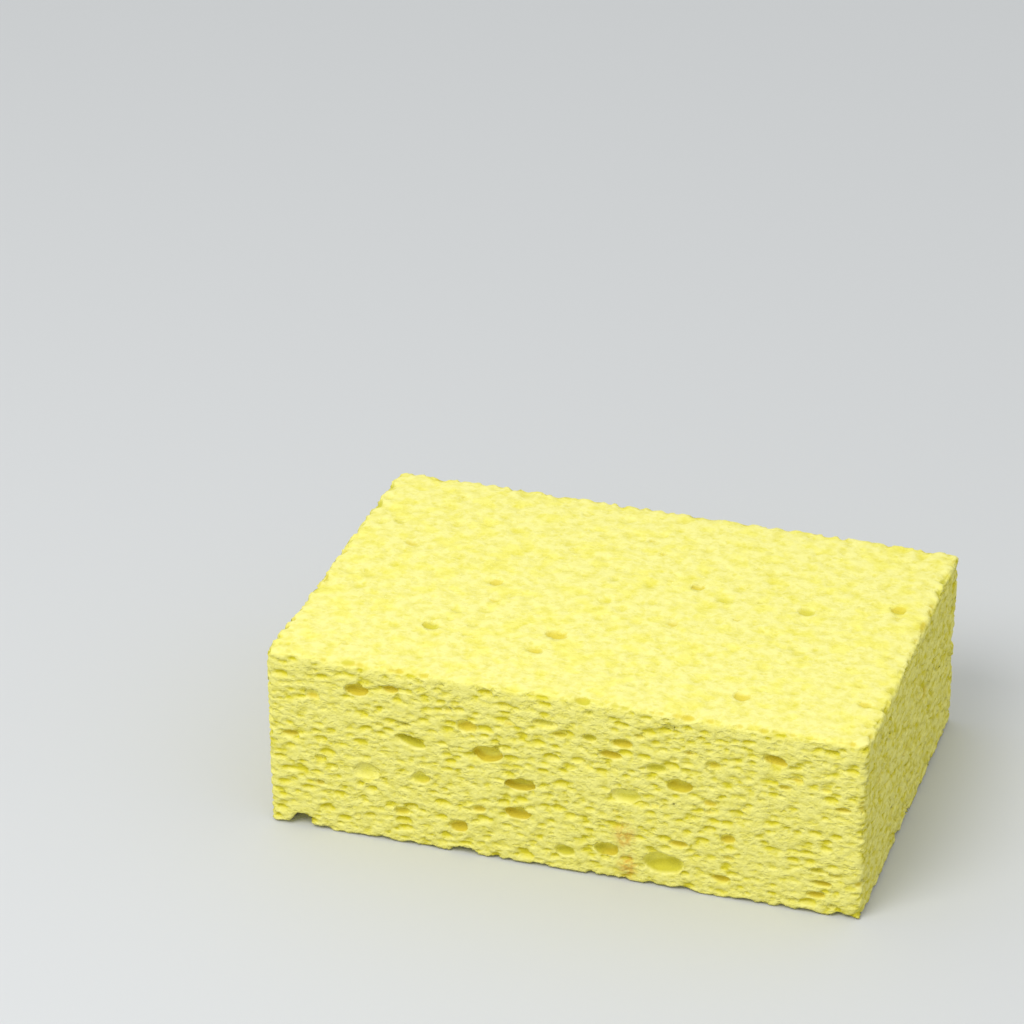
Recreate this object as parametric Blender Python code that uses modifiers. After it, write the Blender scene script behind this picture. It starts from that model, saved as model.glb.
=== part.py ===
"""A cellulose household sponge: one cut block, opened all over by its foam cells.

The block lies on its broad face. +X runs along its length, +Y across it, away from the
front face, and +Z up. The origin is the middle of the underside. Lengths are in metres.
"""

import math
import random
from collections import namedtuple

import bmesh
import bpy
from mathutils import Matrix, Vector

# The cut block: six by four by two inches nominal, as it dries.
LENGTH = 0.152
WIDTH = 0.102
THICKNESS = 0.049

# Blade-cut edges are almost sharp. The left end's upright edges are worn rounder, the
# one at the back the most.
EDGE_ROUND = 0.0006
FRONT_LEFT_ROUND = 0.0020
BACK_LEFT_ROUND = 0.0042
RIGHT_CORNER_ROUND = 0.0012
CORNER_STEPS = 3

# The foam's cells are round from above and flattened through the thickness.
CELL_FLATNESS = 0.5
CELL_WALL = 0.0005  # least wall that is left between two cells
UNEVEN = 0.20  # how far a cell's outline wanders in, as a share of its half width
OPENS_WITHIN = 0.6  # a cell opens on a face that lies within this share of its half size

# Sizes of cells: the narrowest and widest mouth, then how many a square metre of face
# has, then the facets round a cell and from one pole of it to the other.
CELL_SIZES = {
    "large": (0.0054, 0.0084, 720, 10, 6),
    "medium": (0.0031, 0.0050, 2850, 7, 4),
    "small": (0.0018, 0.0030, 5000, 5, 2),
}

# The sizes whose every cell on a face is in the lists below, with none left to chance.
ALL_LISTED = {"front": ("large", "medium"), "top": ("large", "medium"), "right": ("large",)}
CHANCE_SUNK = (-0.20, -0.05)  # on the sides, the chance cells are nearly half balls
BROAD_SUNK = (-0.55, -0.15)  # on the broad faces, they are shallower bowls
CHANCE_ROUNDNESS = (0.75, 1.0)  # of their mouths on the broad faces, height to width
CHANCE_TRIES = 8  # for each cell that is wanted
REST_PATCH = 0.006  # radius of the whole surface in the middle of the underside

# Nicks: their mean width, the spread of it, their spacing along an edge, the part of each
# spacing that one may lie in, and their facets from pole to pole.
NICK_WIDTH = 0.0034
NICK_SPREAD = (0.7, 1.3)
NICK_SPACING = 0.031
NICK_STRETCH = (0.15, 0.85)
NICK_FACETS_DOWN = 4
CELL_SEED = 21

SPONGE_YELLOW = (0.88, 0.79, 0.19, 1.0)
SPONGE_ROUGHNESS = 0.9

# Cells that the photograph shows, each as its place along and up its face, in shares of
# the face, the width and height of its mouth, how far its middle is sunk, as a share of
# its depth, and its turn in degrees. A cell sunk by less than zero is a shallow bowl, by
# more than zero one that widens inside.
FRONT_CELLS = (
    (0.152, 0.86, 0.0060, 0.0034, 0.2, 0),
    (0.207, 0.89, 0.0046, 0.0022, -0.1, 0),
    (0.078, 0.79, 0.0040, 0.0030, -0.1, 0),
    (0.339, 0.75, 0.0060, 0.0034, -0.2, 0),
    (0.243, 0.61, 0.0084, 0.0028, -0.1, 14),
    (0.374, 0.61, 0.0078, 0.0044, 0.3, 0),
    (0.430, 0.46, 0.0084, 0.0036, 0.3, -4),
    (0.260, 0.40, 0.0048, 0.0030, -0.1, 0),
    (0.426, 0.29, 0.0066, 0.0034, 0.3, 0),
    (0.358, 0.28, 0.0048, 0.0024, -0.1, 0),
    (0.327, 0.16, 0.0048, 0.0036, 0.2, 0),
    (0.228, 0.19, 0.0042, 0.0026, -0.1, 0),
    (0.506, 0.12, 0.0054, 0.0032, -0.1, 0),
    (0.577, 0.17, 0.0062, 0.0040, 0.2, 0),
    (0.673, 0.14, 0.0106, 0.0060, -0.3, 0),
    (0.600, 0.80, 0.0050, 0.0028, -0.1, 0),
    (0.545, 0.80, 0.0040, 0.0022, -0.1, 0),
    (0.580, 0.72, 0.0064, 0.0024, -0.1, 0),
    (0.695, 0.61, 0.0066, 0.0040, 0.2, 0),
    (0.752, 0.76, 0.0042, 0.0026, -0.1, 0),
    (0.852, 0.84, 0.0068, 0.0030, -0.1, 12),
    (0.749, 0.54, 0.0042, 0.0024, -0.1, 0),
    (0.780, 0.35, 0.0044, 0.0028, -0.1, 0),
    (0.698, 0.27, 0.0056, 0.0022, -0.2, 0),
    (0.607, 0.50, 0.0084, 0.0044, -0.5, 0),
    (0.168, 0.39, 0.0080, 0.0048, -0.6, 0),
    (0.926, 0.11, 0.0048, 0.0022, -0.1, 0),
    (0.038, 0.54, 0.0050, 0.0022, -0.1, 0),
    (0.470, 0.84, 0.0069, 0.0023, -0.5, 0),
    (0.658, 0.69, 0.0058, 0.0031, -0.3, 0),
    (0.769, 0.11, 0.0054, 0.0022, -0.2, 0),
    (0.934, 0.18, 0.0054, 0.0017, -0.2, 0),
    (0.966, 0.62, 0.0046, 0.0017, -0.2, 0),
    (0.929, 0.25, 0.0046, 0.0019, -0.2, 0),
    (0.228, 0.70, 0.0046, 0.0014, -0.2, 0),
    (0.496, 0.79, 0.0038, 0.0019, -0.1, 0),
    (0.711, 0.81, 0.0038, 0.0015, -0.1, 0),
    (0.870, 0.70, 0.0038, 0.0016, -0.1, 0),
    (0.888, 0.75, 0.0037, 0.0017, -0.1, 0),
    (0.676, 0.93, 0.0035, 0.0017, -0.1, 0),
    (0.748, 0.49, 0.0031, 0.0015, -0.1, 0),
    (0.936, 0.72, 0.0032, 0.0017, -0.1, 0),
    (0.084, 0.28, 0.0032, 0.0019, -0.1, 0),
    (0.306, 0.83, 0.0031, 0.0021, -0.1, 0),
    (0.954, 0.06, 0.0030, 0.0017, -0.1, 0),
    (0.089, 0.43, 0.0030, 0.0017, -0.1, 0),
    (0.410, 0.81, 0.0029, 0.0017, -0.1, 0),
    (0.541, 0.94, 0.0029, 0.0015, -0.1, 0),
    (0.189, 0.68, 0.0027, 0.0015, -0.1, 0),
    (0.541, 0.64, 0.0027, 0.0017, -0.1, 0),
    (0.805, 0.54, 0.0025, 0.0018, -0.1, 0),
    (0.688, 0.76, 0.0024, 0.0015, -0.1, 0),
    (0.151, 0.12, 0.0023, 0.0019, -0.1, 0),
    (0.387, 0.30, 0.0021, 0.0015, -0.1, 0),
    (0.076, 0.93, 0.0020, 0.0020, -0.1, 0),
    (0.592, 0.40, 0.0020, 0.0015, -0.1, 0),
    (0.515, 0.42, 0.0019, 0.0015, -0.1, 0),
)
TOP_CELLS = (
    (0.064, 0.73, 0.0032, 0.0030, -0.1, 0),
    (0.105, 0.63, 0.0036, 0.0030, -0.1, 0),
    (0.283, 0.50, 0.0050, 0.0040, -0.1, 0),
    (0.298, 0.41, 0.0034, 0.0030, -0.1, 0),
    (0.225, 0.24, 0.0048, 0.0040, 0.2, 0),
    (0.430, 0.29, 0.0060, 0.0042, -0.1, 0),
    (0.413, 0.20, 0.0046, 0.0030, -0.1, 0),
    (0.610, 0.63, 0.0036, 0.0034, 0.3, 0),
    (0.602, 0.43, 0.0034, 0.0032, -0.1, 0),
    (0.665, 0.59, 0.0056, 0.0040, -0.3, 0),
    (0.802, 0.59, 0.0050, 0.0040, -0.1, 0),
    (0.946, 0.67, 0.0048, 0.0040, 0.2, 0),
    (0.968, 0.19, 0.0040, 0.0034, -0.1, 0),
    (0.770, 0.14, 0.0048, 0.0040, -0.1, 0),
    (0.431, 0.92, 0.0050, 0.0036, -0.5, 0),
    (0.253, 0.33, 0.0032, 0.0026, -0.4, 0),
    (0.122, 0.84, 0.0026, 0.0020, -0.1, 0),
    (0.135, 0.91, 0.0022, 0.0018, -0.1, 0),
    (0.559, 0.64, 0.0024, 0.0020, -0.1, 0),
    (0.884, 0.65, 0.0019, 0.0016, 0.1, 0),
    (0.837, 0.61, 0.0020, 0.0018, 0.1, 0),
    (0.722, 0.60, 0.0022, 0.0020, -0.1, 0),
    (0.699, 0.50, 0.0020, 0.0020, 0.1, 0),
    (0.970, 0.43, 0.0019, 0.0017, -0.1, 0),
    (0.906, 0.37, 0.0018, 0.0016, -0.1, 0),
    (0.562, 0.23, 0.0019, 0.0016, -0.1, 0),
    (0.536, 0.22, 0.0028, 0.0022, -0.3, 0),
    (0.342, 0.66, 0.0019, 0.0018, 0.1, 0),
    (0.382, 0.61, 0.0026, 0.0020, -0.3, 0),
    (0.424, 0.66, 0.0020, 0.0018, -0.1, 0),
    (0.375, 0.83, 0.0018, 0.0016, 0.1, 0),
    (0.490, 0.83, 0.0024, 0.0020, -0.1, 0),
    (0.524, 0.77, 0.0024, 0.0018, 0.1, 0),
    (0.115, 0.09, 0.0022, 0.0020, -0.1, 0),
    (0.212, 0.08, 0.0028, 0.0022, -0.3, 0),
    (0.355, 0.10, 0.0020, 0.0018, -0.1, 0),
)
RIGHT_CELLS = (
    (0.158, 0.66, 0.0068, 0.0036, -0.1, 0),
    (0.445, 0.47, 0.0064, 0.0034, 0.2, 0),
    (0.655, 0.57, 0.0082, 0.0042, -0.2, 0),
)

# Torn places on the block's edges: the place as shares of length, width and thickness
# from the left, front and bottom, then the tear's width and height.
TEARS = (
    (0.052, 0.0, 0.0, 0.0054, 0.0076),
    (0.335, 0.0, 0.0, 0.0074, 0.0036),
    (1.0, 1.0, 0.53, 0.0100, 0.0048),
    (0.968, 0.0, 0.0, 0.0046, 0.0028),
)

Face = namedtuple("Face", "corner along up inward long high")
Cell = namedtuple("Cell", "centre axes half reach size face")


def clear_scene():
    for old in list(bpy.data.objects):
        bpy.data.objects.remove(old, do_unlink=True)


def new_collection(name):
    collection = bpy.data.collections.new(name)
    bpy.context.scene.collection.children.link(collection)
    return collection


def sponge_material():
    material = bpy.data.materials.new("yellow_cellulose")
    material.use_nodes = True
    shader = material.node_tree.nodes["Principled BSDF"]
    shader.inputs["Base Color"].default_value = SPONGE_YELLOW
    shader.inputs["Roughness"].default_value = SPONGE_ROUGHNESS
    shader.inputs["Metallic"].default_value = 0.0
    return material


def faces_of_block():
    """The block's faces: a corner, the ways along, up and in, and the two lengths."""
    x, y, z = Vector((1, 0, 0)), Vector((0, 1, 0)), Vector((0, 0, 1))
    left, front, back = -LENGTH / 2, -WIDTH / 2, WIDTH / 2
    return {
        "front": Face(Vector((left, front, 0)), x, z, y, LENGTH, THICKNESS),
        "back": Face(Vector((-left, back, 0)), -x, z, -y, LENGTH, THICKNESS),
        "right": Face(Vector((-left, front, 0)), y, z, -x, WIDTH, THICKNESS),
        "left": Face(Vector((left, back, 0)), -y, z, x, WIDTH, THICKNESS),
        "top": Face(Vector((left, front, THICKNESS)), x, y, -z, LENGTH, WIDTH),
        "under": Face(Vector((left, back, 0)), x, -y, z, LENGTH, WIDTH),
    }


def size_class(width):
    for name, (least, *_rest) in CELL_SIZES.items():
        if width >= least:
            return name
    return "small"


def cell_with_mouth(faces, name, along, up, wide, high, sunk, turn):
    """The cell that opens on a face with a mouth of the given width and height.

    An ellipsoid whose middle lies a share `sunk` of its half depth below the face opens
    there at sqrt(1 - sunk^2) of its full size.
    """
    face = faces[name]
    opening = math.sqrt(1 - sunk * sunk)
    half_along, half_up = wide / 2 / opening, high / 2 / opening
    if abs(face.up.z) > 0.5:
        half_in = half_along
        reach = max(half_along, half_up / CELL_FLATNESS)
    else:
        reach = max(half_along, half_up)
        half_in = CELL_FLATNESS * reach
    centre = face.corner + face.along * face.long * along + face.up * face.high * up
    centre += face.inward * half_in * sunk
    axes = Matrix.Rotation(math.radians(turn), 3, face.inward)
    axes = axes @ Matrix((face.along, face.up, face.inward)).transposed()
    half = Vector((half_along, half_up, half_in))
    return Cell(centre, axes, half, reach, size_class(wide), name)


def chosen_cells(faces):
    """The cells that the photograph shows."""
    cells = []
    for name, mouths in (("front", FRONT_CELLS), ("top", TOP_CELLS), ("right", RIGHT_CELLS)):
        for mouth in mouths:
            cells.append(cell_with_mouth(faces, name, *mouth))
    return cells


def cell_on_edge(centre, wide, high, size):
    half = Vector((wide, wide, high)) / 2
    reach = max(wide, high / CELL_FLATNESS) / 2
    return Cell(centre, Matrix.Identity(3), half, reach, size, "edge")


def torn_cells():
    cells = []
    for along, across, up, wide, high in TEARS:
        centre = Vector(((along - 0.5) * LENGTH, (across - 0.5) * WIDTH, up * THICKNESS))
        cells.append(cell_on_edge(centre, wide, high, "medium"))
    return cells


def stands_clear(cell, others):
    """Whether a cell keeps its wall to the others, measured where both are balls."""
    for other in others:
        apart = cell.centre - other.centre
        apart.z /= CELL_FLATNESS
        if apart.length < cell.reach + other.reach + CELL_WALL:
            return False
    return True


def keeps_edges(cell):
    """Whether a cell leaves no thin skin along the faces that it doesn't open on."""
    tall = cell.reach * CELL_FLATNESS
    middle = cell.centre - Vector((0, 0, THICKNESS / 2))
    room = (LENGTH / 2 - abs(middle.x), WIDTH / 2 - abs(middle.y), THICKNESS / 2 - abs(middle.z))
    opened = 0
    for depth, half in zip(room, (cell.reach, cell.reach, tall)):
        if depth < OPENS_WITHIN * half:
            opened += 1
        elif depth < half + CELL_WALL:
            return False
    return opened == 1


def spares_rest(cell):
    """Whether a cell keeps clear of the middle of the underside, which the block rests on."""
    return cell.face != "under" or cell.centre.xy.length > REST_PATCH + cell.reach


def chance_cells(faces, taken, chance):
    """The cells that are left to chance, on every face, the large ones first."""
    cells = []
    for size, (least, most, density, _round, _down) in CELL_SIZES.items():
        for name, face in faces.items():
            if size in ALL_LISTED.get(name, ()):
                continue
            shown = sum(1 for cell in taken if (cell.face, cell.size) == (name, size))
            wanted = round(face.long * face.high * density) - shown
            for _ in range(max(wanted, 0) * CHANCE_TRIES):
                if wanted == 0:
                    break
                wide = chance.uniform(least, most)
                upright = abs(face.up.z) > 0.5
                cell = cell_with_mouth(
                    faces,
                    name,
                    chance.random(),
                    chance.random(),
                    wide,
                    wide * (CELL_FLATNESS if upright else chance.uniform(*CHANCE_ROUNDNESS)),
                    chance.uniform(*(CHANCE_SUNK if upright else BROAD_SUNK)),
                    0 if upright else chance.uniform(0, 180),
                )
                fits = keeps_edges(cell) and spares_rest(cell)
                if fits and stands_clear(cell, taken + cells):
                    cells.append(cell)
                    wanted -= 1
    return cells


def block_edges():
    """The block's twelve edges, each as its two ends."""
    sides = (LENGTH / 2, WIDTH / 2, THICKNESS / 2)
    middle = Vector((0, 0, THICKNESS / 2))
    edges = []
    for axis in range(3):
        first, second = [other for other in range(3) if other != axis]
        for sign_first in (-1, 1):
            for sign_second in (-1, 1):
                start = Vector((0, 0, 0))
                start[axis] = -sides[axis]
                start[first] = sign_first * sides[first]
                start[second] = sign_second * sides[second]
                end = start.copy()
                end[axis] = sides[axis]
                edges.append((middle + start, middle + end))
    return edges


def nick_cells(taken, chance):
    """Small cells that the blade opened along the block's edges."""
    cells = []
    for start, end in block_edges():
        count = round((end - start).length / NICK_SPACING)
        for step in range(count):
            place = (step + chance.uniform(*NICK_STRETCH)) / count
            wide = NICK_WIDTH * chance.uniform(*NICK_SPREAD)
            centre = start.lerp(end, place)
            cell = cell_on_edge(centre, wide, wide * CELL_FLATNESS, "small")
            if stands_clear(cell, taken + cells):
                cells.append(cell)
    return cells


def add_cell(shape, cell, chance):
    """Adds one cell to the cutter: an ellipsoid whose outline wanders in and out.

    Each of its upright seams is drawn in by a share of its own, so every facet stays flat.
    """
    _least, _most, _density, around, down = CELL_SIZES[cell.size]
    if cell.face == "edge":
        down = NICK_FACETS_DOWN
    ball = bmesh.ops.create_uvsphere(shape, u_segments=around, v_segments=down, radius=1.0)
    drawn_in = [1 - chance.uniform(0, UNEVEN) for _ in range(around)]
    placed = Matrix.Translation(cell.centre) @ cell.axes.to_4x4()
    placed = placed @ Matrix.Diagonal((*cell.half, 1.0))
    placed = placed @ Matrix.Rotation(chance.uniform(0, math.pi), 4, "Z")
    for vert in ball["verts"]:
        seam = round(math.atan2(vert.co.y, vert.co.x) / math.tau * around) % around
        vert.co.x *= drawn_in[seam]
        vert.co.y *= drawn_in[seam]
        vert.co = placed @ vert.co


def cutter_of(cells, chance, collection):
    """One mesh of all the cells, to be cut from the block."""
    shape = bmesh.new()
    for cell in cells:
        add_cell(shape, cell, chance)
    bmesh.ops.recalc_face_normals(shape, faces=shape.faces)
    mesh = bpy.data.meshes.new("foam_cells")
    shape.to_mesh(mesh)
    shape.free()
    cutter = bpy.data.objects.new("foam_cells", mesh)
    cutter.hide_render = True
    cutter.display_type = "WIRE"
    collection.objects.link(cutter)
    return cutter


def round_upright_edges(mesh):
    """Rounds the four upright edges, the left end's more than the right end's."""
    shape = bmesh.new()
    shape.from_mesh(mesh)
    corners = (
        (-1, -1, FRONT_LEFT_ROUND),
        (-1, 1, BACK_LEFT_ROUND),
        (1, -1, RIGHT_CORNER_ROUND),
        (1, 1, RIGHT_CORNER_ROUND),
    )
    for right, back, radius in corners:
        place = Vector((right * LENGTH / 2, back * WIDTH / 2))
        upright = [
            edge
            for edge in shape.edges
            if all((vert.co.xy - place).length < 1e-6 for vert in edge.verts)
        ]
        bmesh.ops.bevel(
            shape,
            geom=upright,
            offset=radius,
            segments=CORNER_STEPS,
            profile=0.5,
            affect="EDGES",
        )
    shape.to_mesh(mesh)
    shape.free()


def sponge_block(collection):
    bpy.ops.mesh.primitive_cube_add(size=1.0, location=(0, 0, THICKNESS / 2))
    block = bpy.context.active_object
    block.name = "sponge_block"
    block.scale = (LENGTH, WIDTH, THICKNESS)
    bpy.ops.object.transform_apply(location=True, rotation=False, scale=True)
    for holder in list(block.users_collection):
        holder.objects.unlink(block)
    collection.objects.link(block)
    round_upright_edges(block.data)
    soften = block.modifiers.new("cut_edges", "BEVEL")
    soften.width = EDGE_ROUND
    soften.segments = 1
    soften.limit_method = "ANGLE"
    soften.angle_limit = math.radians(60)
    return block


def main():
    clear_scene()
    parts = new_collection("cellulose_sponge")
    cutters = new_collection("cutters")
    chance = random.Random(CELL_SEED)
    faces = faces_of_block()
    cells = torn_cells() + chosen_cells(faces)
    cells += chance_cells(faces, cells, chance)
    cells += nick_cells(cells, chance)
    block = sponge_block(parts)
    foam = block.modifiers.new("foam_cells", "BOOLEAN")
    foam.operation = "DIFFERENCE"
    foam.solver = "EXACT"
    foam.object = cutter_of(cells, chance, cutters)
    block.data.materials.append(sponge_material())


main()
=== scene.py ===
"""A dry yellow cellulose sponge, sawn from a block of foam, lying on its broad face."""

import math
import random
from collections import namedtuple

import bpy
import numpy as np
from mathutils import Matrix, Vector


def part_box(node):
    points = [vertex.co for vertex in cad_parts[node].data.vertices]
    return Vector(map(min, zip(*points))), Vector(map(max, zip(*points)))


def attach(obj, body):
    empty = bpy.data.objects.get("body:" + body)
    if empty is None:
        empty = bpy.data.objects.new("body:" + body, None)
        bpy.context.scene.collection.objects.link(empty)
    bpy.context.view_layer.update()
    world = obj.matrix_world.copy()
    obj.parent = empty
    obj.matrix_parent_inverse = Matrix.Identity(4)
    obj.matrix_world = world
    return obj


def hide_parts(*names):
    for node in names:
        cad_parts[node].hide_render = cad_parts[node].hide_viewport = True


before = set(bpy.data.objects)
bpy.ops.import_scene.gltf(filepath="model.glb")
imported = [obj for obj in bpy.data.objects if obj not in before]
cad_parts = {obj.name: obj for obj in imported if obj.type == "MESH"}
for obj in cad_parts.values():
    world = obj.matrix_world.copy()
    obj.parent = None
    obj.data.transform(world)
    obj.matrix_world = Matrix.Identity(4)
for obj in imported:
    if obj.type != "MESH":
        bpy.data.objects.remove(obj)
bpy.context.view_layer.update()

# The foam's cells, as the solid has them.
# Cellulose foam rises as round bubbles that dry flat, so from the side each cell is a
# lens, and from above it is round. The saw opened some of them on every face.
low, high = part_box("sponge_block")
LENGTH, WIDTH, THICKNESS = (round(side, 5) for side in high - low)
CELL_FLATNESS = 0.5
CELL_WALL = 0.0005  # least wall that is left between two cells
OPENS_WITHIN = 0.6  # a cell opens on a face that lies within this share of its half size
CELL_SIZES = {
    # narrowest and widest mouth, and how many a square metre of face has
    "large": (0.0054, 0.0084, 720),
    "medium": (0.0031, 0.0050, 2850),
    "small": (0.0018, 0.0030, 5000),
}
ALL_LISTED = {"front": ("large", "medium"), "top": ("large", "medium"), "right": ("large",)}
CHANCE_SUNK = (-0.20, -0.05)
BROAD_SUNK = (-0.55, -0.15)
CHANCE_ROUNDNESS = (0.75, 1.0)  # height to width of the mouths on the broad faces
CHANCE_TRIES = 8  # for each cell that is wanted
REST_PATCH = 0.006  # radius of the whole surface in the middle of the underside
NICK_WIDTH = 0.0034
NICK_SPREAD = (0.7, 1.3)
NICK_SPACING = 0.031
NICK_STRETCH = (0.15, 0.85)  # part of each spacing that a nick may lie in
CELL_SEED = 21

# Each cell: its place along and up its face, in shares of the face, the width and height
# of its mouth, how far its middle is sunk, in shares of its depth, and its turn.
FRONT_CELLS = (
    (0.152, 0.86, 0.0060, 0.0034, 0.2, 0),
    (0.207, 0.89, 0.0046, 0.0022, -0.1, 0),
    (0.078, 0.79, 0.0040, 0.0030, -0.1, 0),
    (0.339, 0.75, 0.0060, 0.0034, -0.2, 0),
    (0.243, 0.61, 0.0084, 0.0028, -0.1, 14),
    (0.374, 0.61, 0.0078, 0.0044, 0.3, 0),
    (0.430, 0.46, 0.0084, 0.0036, 0.3, -4),
    (0.260, 0.40, 0.0048, 0.0030, -0.1, 0),
    (0.426, 0.29, 0.0066, 0.0034, 0.3, 0),
    (0.358, 0.28, 0.0048, 0.0024, -0.1, 0),
    (0.327, 0.16, 0.0048, 0.0036, 0.2, 0),
    (0.228, 0.19, 0.0042, 0.0026, -0.1, 0),
    (0.506, 0.12, 0.0054, 0.0032, -0.1, 0),
    (0.577, 0.17, 0.0062, 0.0040, 0.2, 0),
    (0.673, 0.14, 0.0106, 0.0060, -0.3, 0),
    (0.600, 0.80, 0.0050, 0.0028, -0.1, 0),
    (0.545, 0.80, 0.0040, 0.0022, -0.1, 0),
    (0.580, 0.72, 0.0064, 0.0024, -0.1, 0),
    (0.695, 0.61, 0.0066, 0.0040, 0.2, 0),
    (0.752, 0.76, 0.0042, 0.0026, -0.1, 0),
    (0.852, 0.84, 0.0068, 0.0030, -0.1, 12),
    (0.749, 0.54, 0.0042, 0.0024, -0.1, 0),
    (0.780, 0.35, 0.0044, 0.0028, -0.1, 0),
    (0.698, 0.27, 0.0056, 0.0022, -0.2, 0),
    (0.607, 0.50, 0.0084, 0.0044, -0.5, 0),
    (0.168, 0.39, 0.0080, 0.0048, -0.6, 0),
    (0.926, 0.11, 0.0048, 0.0022, -0.1, 0),
    (0.038, 0.54, 0.0050, 0.0022, -0.1, 0),
    (0.470, 0.84, 0.0069, 0.0023, -0.5, 0),
    (0.658, 0.69, 0.0058, 0.0031, -0.3, 0),
    (0.769, 0.11, 0.0054, 0.0022, -0.2, 0),
    (0.934, 0.18, 0.0054, 0.0017, -0.2, 0),
    (0.966, 0.62, 0.0046, 0.0017, -0.2, 0),
    (0.929, 0.25, 0.0046, 0.0019, -0.2, 0),
    (0.228, 0.70, 0.0046, 0.0014, -0.2, 0),
    (0.496, 0.79, 0.0038, 0.0019, -0.1, 0),
    (0.711, 0.81, 0.0038, 0.0015, -0.1, 0),
    (0.870, 0.70, 0.0038, 0.0016, -0.1, 0),
    (0.888, 0.75, 0.0037, 0.0017, -0.1, 0),
    (0.676, 0.93, 0.0035, 0.0017, -0.1, 0),
    (0.748, 0.49, 0.0031, 0.0015, -0.1, 0),
    (0.936, 0.72, 0.0032, 0.0017, -0.1, 0),
    (0.084, 0.28, 0.0032, 0.0019, -0.1, 0),
    (0.306, 0.83, 0.0031, 0.0021, -0.1, 0),
    (0.954, 0.06, 0.0030, 0.0017, -0.1, 0),
    (0.089, 0.43, 0.0030, 0.0017, -0.1, 0),
    (0.410, 0.81, 0.0029, 0.0017, -0.1, 0),
    (0.541, 0.94, 0.0029, 0.0015, -0.1, 0),
    (0.189, 0.68, 0.0027, 0.0015, -0.1, 0),
    (0.541, 0.64, 0.0027, 0.0017, -0.1, 0),
    (0.805, 0.54, 0.0025, 0.0018, -0.1, 0),
    (0.688, 0.76, 0.0024, 0.0015, -0.1, 0),
    (0.151, 0.12, 0.0023, 0.0019, -0.1, 0),
    (0.387, 0.30, 0.0021, 0.0015, -0.1, 0),
    (0.076, 0.93, 0.0020, 0.0020, -0.1, 0),
    (0.592, 0.40, 0.0020, 0.0015, -0.1, 0),
    (0.515, 0.42, 0.0019, 0.0015, -0.1, 0),
)
TOP_CELLS = (
    (0.064, 0.73, 0.0032, 0.0030, -0.1, 0),
    (0.105, 0.63, 0.0036, 0.0030, -0.1, 0),
    (0.283, 0.50, 0.0050, 0.0040, -0.1, 0),
    (0.298, 0.41, 0.0034, 0.0030, -0.1, 0),
    (0.225, 0.24, 0.0048, 0.0040, 0.2, 0),
    (0.430, 0.29, 0.0060, 0.0042, -0.1, 0),
    (0.413, 0.20, 0.0046, 0.0030, -0.1, 0),
    (0.610, 0.63, 0.0036, 0.0034, 0.3, 0),
    (0.602, 0.43, 0.0034, 0.0032, -0.1, 0),
    (0.665, 0.59, 0.0056, 0.0040, -0.3, 0),
    (0.802, 0.59, 0.0050, 0.0040, -0.1, 0),
    (0.946, 0.67, 0.0048, 0.0040, 0.2, 0),
    (0.968, 0.19, 0.0040, 0.0034, -0.1, 0),
    (0.770, 0.14, 0.0048, 0.0040, -0.1, 0),
    (0.431, 0.92, 0.0050, 0.0036, -0.5, 0),
    (0.253, 0.33, 0.0032, 0.0026, -0.4, 0),
    (0.122, 0.84, 0.0026, 0.0020, -0.1, 0),
    (0.135, 0.91, 0.0022, 0.0018, -0.1, 0),
    (0.559, 0.64, 0.0024, 0.0020, -0.1, 0),
    (0.884, 0.65, 0.0019, 0.0016, 0.1, 0),
    (0.837, 0.61, 0.0020, 0.0018, 0.1, 0),
    (0.722, 0.60, 0.0022, 0.0020, -0.1, 0),
    (0.699, 0.50, 0.0020, 0.0020, 0.1, 0),
    (0.970, 0.43, 0.0019, 0.0017, -0.1, 0),
    (0.906, 0.37, 0.0018, 0.0016, -0.1, 0),
    (0.562, 0.23, 0.0019, 0.0016, -0.1, 0),
    (0.536, 0.22, 0.0028, 0.0022, -0.3, 0),
    (0.342, 0.66, 0.0019, 0.0018, 0.1, 0),
    (0.382, 0.61, 0.0026, 0.0020, -0.3, 0),
    (0.424, 0.66, 0.0020, 0.0018, -0.1, 0),
    (0.375, 0.83, 0.0018, 0.0016, 0.1, 0),
    (0.490, 0.83, 0.0024, 0.0020, -0.1, 0),
    (0.524, 0.77, 0.0024, 0.0018, 0.1, 0),
    (0.115, 0.09, 0.0022, 0.0020, -0.1, 0),
    (0.212, 0.08, 0.0028, 0.0022, -0.3, 0),
    (0.355, 0.10, 0.0020, 0.0018, -0.1, 0),
)
RIGHT_CELLS = (
    (0.158, 0.66, 0.0068, 0.0036, -0.1, 0),
    (0.445, 0.47, 0.0064, 0.0034, 0.2, 0),
    (0.655, 0.57, 0.0082, 0.0042, -0.2, 0),
)

# Each torn place: shares of the length, width and thickness from the left, front and
# bottom, then its width and height.
TEARS = (
    (0.052, 0.0, 0.0, 0.0054, 0.0076),
    (0.335, 0.0, 0.0, 0.0074, 0.0036),
    (1.0, 1.0, 0.53, 0.0100, 0.0048),
    (0.968, 0.0, 0.0, 0.0046, 0.0028),
)

Face = namedtuple("Face", "corner along up inward long high")
Cell = namedtuple("Cell", "centre axes half reach size face sunk")


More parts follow.
